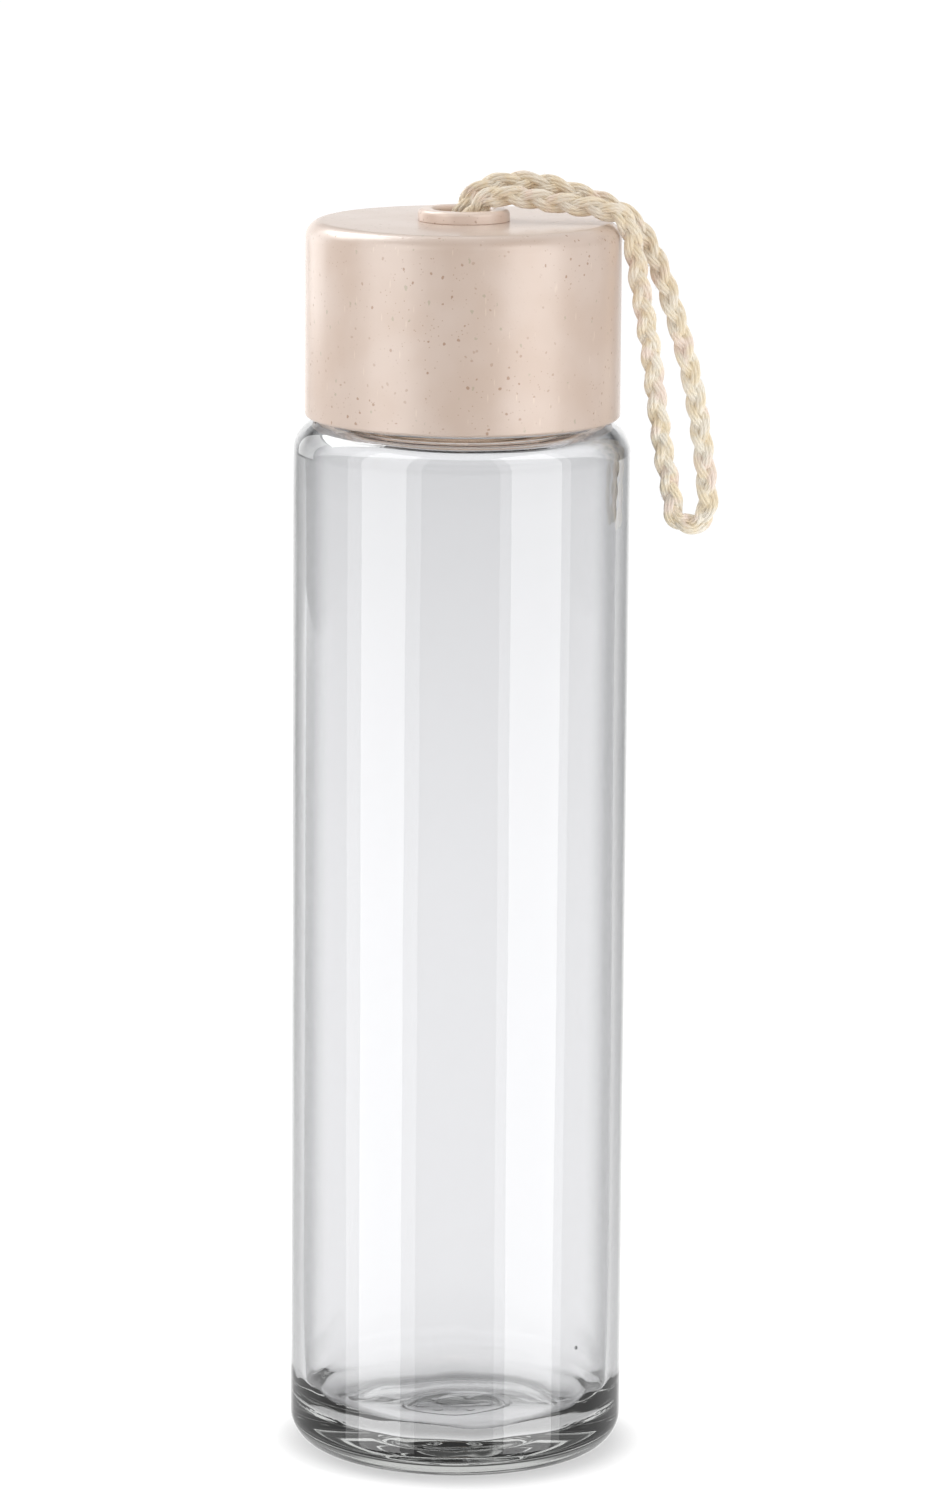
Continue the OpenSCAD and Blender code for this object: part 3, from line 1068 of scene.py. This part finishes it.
@dataclass
class Route:
    """A smooth line through chosen points, with a frame at each place along it."""

    points: list[Vector]
    step: float = 0.4

    def __post_init__(self) -> None:
        """Works out even places along the line, all in millimetres."""
        line = self.curve(24)
        gone = [0.0]
        for a, b in zip(line, line[1:]):
            gone.append(gone[-1] + (b - a).length)
        count = round(gone[-1] / self.step)
        self.length = gone[-1]
        self.at = [self.length * i / count for i in range(count + 1)]
        self.line, k = [], 0
        for s in self.at:
            while k < len(gone) - 2 and gone[k + 1] < s:
                k += 1
            share = (s - gone[k]) / (gone[k + 1] - gone[k])
            self.line.append(line[k].lerp(line[k + 1], min(1.0, share)))

    def curve(self, steps: int) -> list[Vector]:
        """Points of the smooth curve, so many to a stretch."""
        p, out = self.points, []
        for i in range(len(p) - 1):
            a, b, c, d = p[max(i - 1, 0)], p[i], p[i + 1], p[min(i + 2, len(p) - 1)]
            for k in range(steps):
                t = k / steps
                out.append(0.5 * (2 * b + (c - a) * t + (2 * a - 5 * b + 4 * c - d) * t * t
                                  + (3 * b - a - 3 * c + d) * t * t * t))
        return out + [p[-1]]

    def frames(self) -> list[tuple[Vector, Vector, Vector, Vector]]:
        """Place, heading, broad direction and thin direction all along the line."""
        out = []
        for i, place in enumerate(self.line):
            ahead = self.line[min(i + 1, len(self.line) - 1)]
            behind = self.line[max(i - 1, 0)]
            along = (ahead - behind).normalized()
            thin = (Vector((0, 1, 0)) - along.y * along).normalized()
            out.append((place, along, along.cross(thin), thin))
        return out


@dataclass
class Plait:
    """Three strands of several yarns each, plaited flat along a route."""

    route: Route
    swing: float = 1.05
    depth: float = 0.66
    pitch: float = 15.0
    strands: int = 3
    yarns: int = 6
    yarn_out: tuple[float, float] = (0.62, 0.36)
    yarn_r: float = 0.36
    twist: float = 26.0
    sides: int = 8
    uv_name: str = "yarn"

    def yarn(self, strand: int, yarn: int) -> Shape:
        """One yarn of one strand, along the whole route."""
        rings = []
        for s, (place, along, broad, thin) in zip(self.route.at, self.route.frames()):
            phase = TURN * (s / self.pitch + strand / self.strands)
            centre = place + broad * (self.swing * math.sin(phase)) + thin * (self.depth * math.sin(2 * phase))
            turn = TURN * (s / self.twist + yarn / self.yarns + 0.37 * strand)
            swell = 1 + 0.10 * noise.noise(Vector((s * 0.35, strand * 5.1, yarn * 3.7)))
            out_broad, out_thin = self.yarn_out
            centre = centre + (broad * (out_broad * math.cos(turn)) + thin * (out_thin * math.sin(turn))) * swell
            rings.append([
                (centre + (broad * math.cos(a) + thin * math.sin(a)) * (self.yarn_r * swell)) * MM
                for a in (TURN * k / self.sides for k in range(self.sides))
            ])
        return sweep(rings, self.uv_name, self.route.at)

    def build(self) -> list[Shape]:
        """All the yarns."""
        return [self.yarn(s, y) for s in range(self.strands) for y in range(self.yarns)]

    def fuzz(self, count: int, seed: int, reach: tuple[float, float], hair_r: float) -> list[Shape]:
        """Loose fibres that stand out of the plait.

        Args:
            count: How many.
            seed: Seed of the random draws.
            reach: Shortest and longest fibre.
            hair_r: Radius at the foot.

        Returns:
            The fibres.
        """
        draw = random.Random(seed)
        frames = self.route.frames()
        out = []
        for _ in range(count):
            place, along, broad, thin = frames[draw.randrange(4, len(frames) - 4)]
            turn = draw.uniform(0, TURN)
            side = (broad * math.cos(turn) * 1.5 + thin * math.sin(turn) * 1.0)
            outward = side.normalized()
            foot = place + side
            long = draw.uniform(*reach)
            lean = along * draw.choice((-1, 1)) * draw.uniform(0.5, 1.6)
            curl = along.cross(outward) * draw.uniform(-0.9, 0.9)
            rings = []
            for k in range(5):
                t = k / 4
                spot = foot + outward * (long * t * (1 - 0.35 * t)) + (lean + curl * t) * (long * 0.55 * t)
                thick = hair_r * (1 - 0.7 * t)
                rings.append([(spot + (along * math.cos(a) + curl_axis(along, outward) * math.sin(a)) * thick) * MM
                              for a in (0, TURN / 3, 2 * TURN / 3)])
            out.append(sweep(rings, self.uv_name, [0.0, 0.3, 0.6, 0.9, 1.2]))
        return out


def curl_axis(along: Vector, outward: Vector) -> Vector:
    """Returns the direction square to both."""
    return along.cross(outward).normalized()


@dataclass
class CarryLoop:
    """The plaited loop through the bush, and the stopper knot that holds it inside the cap."""

    foot: tuple[float, float] = (0.8, -2.0)
    dip: float = 0.4
    cord_d: float = 3.8
    points: tuple[tuple[float, float, float], ...] = (
        (0.3, 2, 2.4), (1.9, 2.1, 4.6), (4.8, 2.1, 6.2), (9.4, 1.9, 7), (14.4, 1.6, 6.6),
        (19.2, 1.3, 5.3), (23.8, 0.9, 3.9), (28, 0.4, 2.1), (31.5, 0, -0.7), (34, 0, -4.6),
        (36.2, 0, -9.6), (38.2, 0, -15.4), (40.1, 0, -21.8), (41.8, 0, -28.2), (43.1, 0, -34.6),
        (44.1, 0, -41), (44.8, 0, -46.8), (45.1, 0, -50.2), (45.1, 0, -52.6), (44.2, 0, -54.9),
        (41.9, 0, -55.8), (39.6, 0, -54.9), (38.8, -0.2, -52.6), (38.4, -0.5, -49.4),
        (37.2, -1.2, -43.8), (36.2, -2, -37.4), (35.3, -2.8, -30.8), (34.4, -3.6, -24),
        (33.2, -4.4, -17), (32, -5.1, -10.4), (30.9, -5.7, -4), (29.1, -5.9, 1.1),
        (24.8, -5, 2.8), (17, -3.5, 3.7), (9, -2.4, 4.7), (4.7, -1.9, 4.3), (2.5, -1.7, 2.2),
    )
    wraps: int = 3
    wrap_r: float = 1.55
    seed: int = 7

    def build(self) -> None:
        """Makes the loop and the knot."""
        cap_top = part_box("cap_shell")[1].z / MM
        knot_low, knot_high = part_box("cord_knot")
        knot_top = knot_high.z / MM
        x, y = self.foot
        route = Route([
            Vector((-x, -y, knot_top)),
            Vector((-x, -y, cap_top - self.dip)),
            *(Vector(p) + Vector((0, 0, cap_top)) for p in self.points),
            Vector((x, y, cap_top - self.dip)),
            Vector((x, y, knot_top)),
        ])
        plait = Plait(route)
        loop = as_object("plaited_loop", joined(plait.build() + plait.fuzz(560, self.seed, (0.4, 1.5), 0.035)), 80)
        knot = as_object("stopper_knot", joined(self.knot(knot_low / MM, knot_high / MM)), 80)
        finished(loop, Body.CORD, Slot.CORD, CottonYarn("cotton_plait").material(), "carry_cord")
        finished(knot, Body.CORD, Slot.KNOT, CottonYarn("cotton_knot").material(), "cord_knot")
        log.info("the loop is %.1f mm long", route.length)

    def knot(self, low: Vector, high: Vector) -> list[Shape]:
        """The stopper knot: turns of the cord wound round its own two ends.

        Args:
            low: Lowest corner of the knot's space in millimetres.
            high: Highest corner.

        Returns:
            The wound turns and the core.
        """
        around = high.x - self.wrap_r
        tall = high.z - low.z
        turns, per_turn = self.wraps, 40
        climb = (tall - 2 * self.wrap_r) / turns
        start = low.z + self.wrap_r
        strands = []
        for strand in range(3):
            rings, lengths = [], []
            for i in range(turns * per_turn + 1):
                turn = TURN * i / per_turn
                lay = TURN * (i / 13 + strand / 3)
                out = Vector((math.cos(turn), math.sin(turn), 0))
                centre = out * around + Vector((0, 0, start + climb * i / per_turn))
                centre += (out * math.cos(lay) + Vector((0, 0, math.sin(lay)))) * (self.wrap_r * 0.47)
                rings.append([(centre + (out * math.cos(a) + Vector((0, 0, math.sin(a)))) * (self.wrap_r * 0.53)) * MM
                              for a in (TURN * k / 10 for k in range(10))])
                lengths.append(around * turn)
            strands.append(sweep(rings, "yarn", lengths))
        core_r = around - self.wrap_r * 0.75
        outline = [(0, low.z + 0.2), *arc((core_r - 1, low.z + 1.2), 1, -90, 0, 5),
                   *arc((core_r - 1, high.z - 1), 1, 0, 90, 5), (0, high.z)]
        core = lathe(outline, 48)
        layer = core.loops.layers.uv.new("yarn")
        for face in core.faces:
            for corner in face.loops:
                co = corner.vert.co
                corner[layer].uv = (co.z / MM, math.atan2(co.y, co.x) / TURN)
        return [*strands, core]


def main() -> None:
    """Builds the studio, the loop, the glass, the cap and the bush, in that order."""
    logging.basicConfig(level=logging.INFO, format="%(message)s")
    studio = Studio()
    studio.camera()
    CarryLoop().build()
    GlassBottle().build()
    ScrewCap().build()
    CordBush().build()
    studio.room()


if __name__ == "__main__":
    main()
